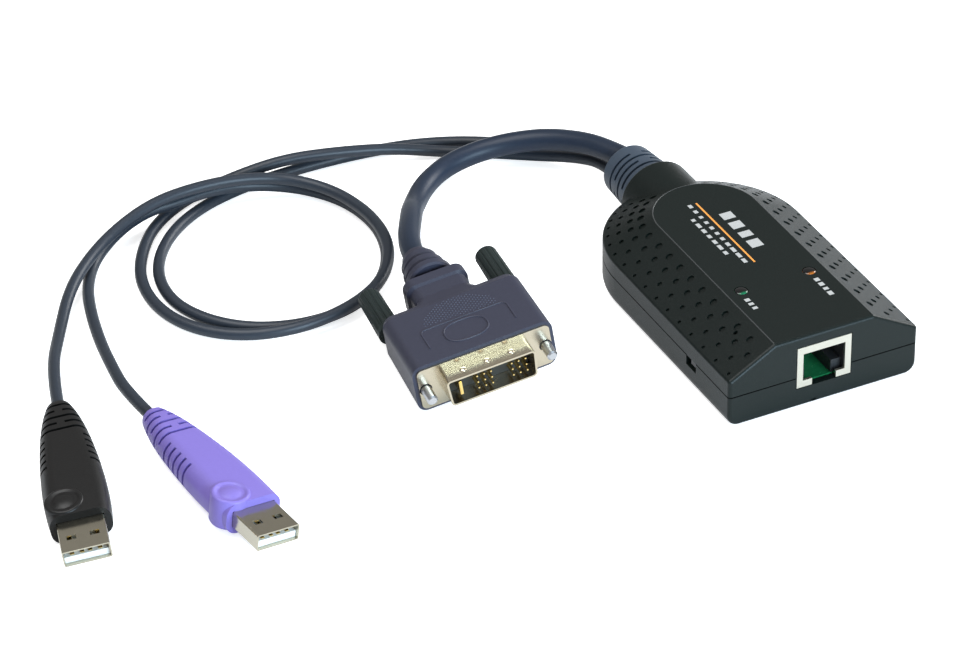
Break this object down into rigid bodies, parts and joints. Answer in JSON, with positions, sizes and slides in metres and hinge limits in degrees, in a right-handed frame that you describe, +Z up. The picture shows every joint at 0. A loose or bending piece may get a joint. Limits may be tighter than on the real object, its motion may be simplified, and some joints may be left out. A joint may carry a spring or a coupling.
{
  "type": "kvm dongle",
  "caption": "Small housing with a network socket at one end and captive cables to a video plug and two USB plugs at the other.",
  "frame": {"origin": "under the middle of the housing, on the surface it lies on", "axes": "+Z up out of the panel, +Y from the socket face towards the strain relief and the cables, +X to the right seen from behind the cables"},
  "size_m": [0.2272, 0.1638, 0.0215],
  "materials": {
    "housing_plastic": "fine texture",
    "screw_steel": "plated",
    "board": "lacquered",
    "chip": "matt",
    "header_plastic": "matt",
    "capacitor_can": "satin",
    "nickel": "bright nickel",
    "insert_black": "matt",
    "gold": "gold plated",
    "clear_green": "clear moulded",
    "clear_orange": "clear moulded",
    "switch_grey": "matt",
    "boot_rubber": "matt",
    "cable_jacket": "satin",
    "black_grip": "satin",
    "purple_grip": "satin",
    "tongue_white": "matt",
    "hood_plastic": "satin",
    "insert_white": "matt",
    "thumb_plastic": "satin"
  },
  "bodies": {
    "dongle": {"top_cover": "housing_plastic", "bottom_cover": "housing_plastic", "cover_screws": "screw_steel", "circuit_board": "board", "main_chip": "chip", "transformer": "chip", "cable_header": "header_plastic", "capacitors": "capacitor_can", "jack_shield": "nickel", "jack_insert": "insert_black", "jack_contacts": "gold", "link_light_guide": "clear_green", "power_light_guide": "clear_orange", "switch_case": "nickel", "strain_relief": "boot_rubber", "video_cable": "cable_jacket", "black_usb_cable": "cable_jacket", "purple_usb_cable": "cable_jacket", "black_usb_grip": "black_grip", "black_usb_shell": "nickel", "black_usb_tongue": "tongue_white", "black_usb_contacts": "gold", "purple_usb_grip": "purple_grip", "purple_usb_shell": "nickel", "purple_usb_tongue": "tongue_white", "purple_usb_contacts": "gold", "video_hood": "hood_plastic", "video_shell": "nickel", "video_insert": "insert_white", "video_pins": "gold", "video_blade": "gold"},
    "slider": {"switch_slider": "switch_grey"},
    "left_thumbscrew": {"left_thumb_grip": "thumb_plastic", "left_thumb_rod": "screw_steel"},
    "right_thumbscrew": {"right_thumb_grip": "thumb_plastic", "right_thumb_rod": "screw_steel"}
  },
  "joints": [
    {"name": "switch_slide", "type": "slide", "parent": "dongle", "child": "slider", "axis": [0, 1, 0], "range_m": [0, 0.002]},
    {"name": "left_thumbscrew_turn", "type": "hinge", "parent": "dongle", "child": "left_thumbscrew", "pos_m": [-0.08779, 0.04593, 0.00964], "axis": [-0.0905, -0.9949, -0.0436], "continuous": true},
    {"name": "right_thumbscrew_turn", "type": "hinge", "parent": "dongle", "child": "right_thumbscrew", "pos_m": [-0.05537, 0.04275, 0.01496], "axis": [-0.0905, -0.9949, -0.0436], "continuous": true}
  ]
}
